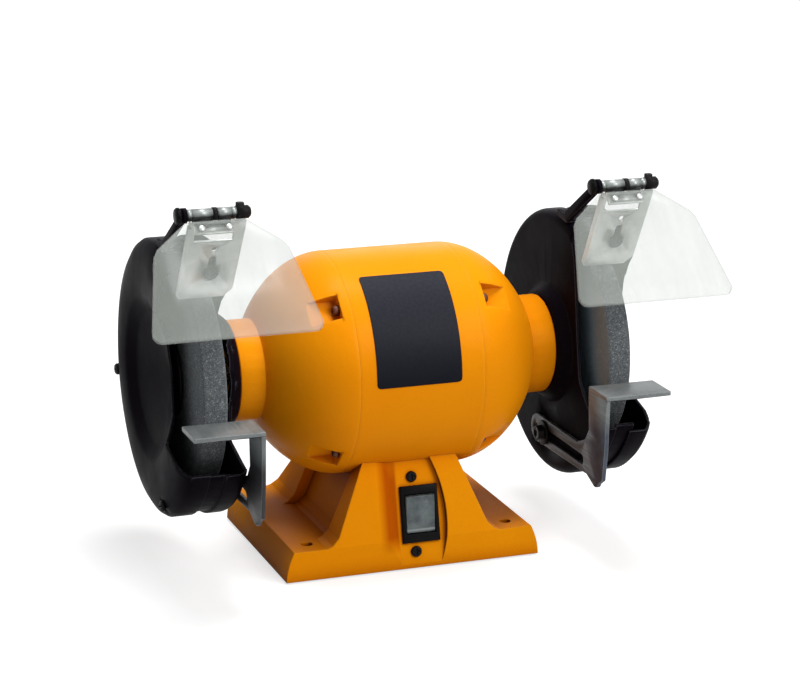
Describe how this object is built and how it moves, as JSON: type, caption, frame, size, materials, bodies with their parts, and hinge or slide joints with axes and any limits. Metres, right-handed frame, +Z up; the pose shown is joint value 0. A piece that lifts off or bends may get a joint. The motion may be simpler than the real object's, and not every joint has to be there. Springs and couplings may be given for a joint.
{
  "type": "bench grinder",
  "caption": "Bench grinder: a motor on a bolt-down base with a guarded grinding wheel, tilting eye shield and sliding tool rest at each end.",
  "frame": {"origin": "centre of the four bolt holes of the base, on the bench surface", "axes": "+X along the motor shaft to the right as the user sees it, -Y towards the user, +Z up"},
  "size_m": [0.3974, 0.2247, 0.2673],
  "materials": {
    "orange_paint": "satin",
    "black_paint": "satin",
    "grey_sheet": "satin",
    "zinc_steel": "bare, zinc plated",
    "rest_steel": "dull",
    "bright_steel": "bright",
    "dark_steel": "black oxide",
    "wheel_grit": "open grit",
    "clear_sheet": "clear, faintly grey",
    "black_plastic": "fine grain",
    "rocker_plastic": "smooth",
    "rubber_black": "matt",
    "plate_film": "satin, bare",
    "laminations": "cut edges",
    "copper_wire": "varnished",
    "cast_aluminium": "as cast",
    "paper_card": "matt"
  },
  "bodies": {
    "housing": {"base_casting": "orange_paint", "base_cover": "grey_sheet", "base_cover_screws": "bright_steel", "rubber_feet": "rubber_black", "cord_grommet": "rubber_black", "switch_bezel": "black_plastic", "switch_body": "black_plastic", "switch_screws": "dark_steel", "run_capacitor": "cast_aluminium", "saddle_screws": "bright_steel", "stator_housing": "orange_paint", "left_end_bell": "orange_paint", "right_end_bell": "orange_paint", "case_screws": "dark_steel", "name_plate": "plate_film", "stator_core": "laminations", "stator_windings": "copper_wire", "left_bearing_outer_ring": "bright_steel", "right_bearing_outer_ring": "bright_steel", "preload_washer": "bright_steel", "left_guard": "black_paint", "right_guard": "black_paint", "guard_screws": "bright_steel", "left_guard_cover": "black_paint", "right_guard_cover": "black_paint", "cover_screws": "dark_steel", "left_shield_arm": "black_paint", "right_shield_arm": "black_paint", "left_deflector": "zinc_steel", "right_deflector": "zinc_steel", "left_hinge_rod": "dark_steel", "right_hinge_rod": "dark_steel", "bracket_screws": "dark_steel", "rest_clamps": "dark_steel"},
    "rotor": {"shaft": "bright_steel", "rotor_core": "laminations", "rotor_cage": "cast_aluminium", "left_bearing_inner_ring": "bright_steel", "right_bearing_inner_ring": "bright_steel", "bearing_balls": "bright_steel", "left_inner_flange": "dark_steel", "right_inner_flange": "dark_steel", "left_grinding_wheel": "wheel_grit", "right_grinding_wheel": "wheel_grit", "paper_washers": "paper_card", "left_outer_flange": "dark_steel", "right_outer_flange": "dark_steel", "left_arbor_nut": "bright_steel", "right_arbor_nut": "bright_steel"},
    "rocker": {"switch_rocker": "rocker_plastic"},
    "left_shield": {"left_shield_clamp": "zinc_steel", "left_eye_shield": "clear_sheet"},
    "right_shield": {"right_shield_clamp": "zinc_steel", "right_eye_shield": "clear_sheet"},
    "left_knob": {"left_clamp_knob": "black_plastic"},
    "right_knob": {"right_clamp_knob": "black_plastic"},
    "left_rest": {"left_tool_rest": "rest_steel"},
    "right_rest": {"right_tool_rest": "rest_steel"}
  },
  "joints": [
    {"name": "rotor_spin", "type": "hinge", "parent": "housing", "child": "rotor", "pos_m": [0, -0.0095, 0.135], "axis": [1, 0, 0], "continuous": true},
    {"name": "switch_rock", "type": "hinge", "parent": "housing", "child": "rocker", "pos_m": [0.006, -0.06428, 0.03779], "axis": [1, 0, 0], "range_deg": [-16, 0]},
    {"name": "left_shield_tilt", "type": "hinge", "parent": "housing", "child": "left_shield", "pos_m": [-0.1432, -0.0815, 0.261], "axis": [1, 0, 0], "range_deg": [-80, 25]},
    {"name": "left_knob_turn", "type": "hinge", "parent": "housing", "child": "left_knob", "pos_m": [-0.1658, -0.0815, 0.261], "axis": [1, 0, 0], "range_deg": [0, 270]},
    {"name": "left_rest_slide", "type": "slide", "parent": "housing", "child": "left_rest", "axis": [0, -1, 0], "range_m": [-0.0015, 0.012]},
    {"name": "right_shield_tilt", "type": "hinge", "parent": "housing", "child": "right_shield", "pos_m": [0.1432, -0.0815, 0.261], "axis": [1, 0, 0], "range_deg": [-80, 25]},
    {"name": "right_knob_turn", "type": "hinge", "parent": "housing", "child": "right_knob", "pos_m": [0.1206, -0.0815, 0.261], "axis": [1, 0, 0], "range_deg": [0, 270]},
    {"name": "right_rest_slide", "type": "slide", "parent": "housing", "child": "right_rest", "axis": [0, -1, 0], "range_m": [-0.0015, 0.012]}
  ]
}
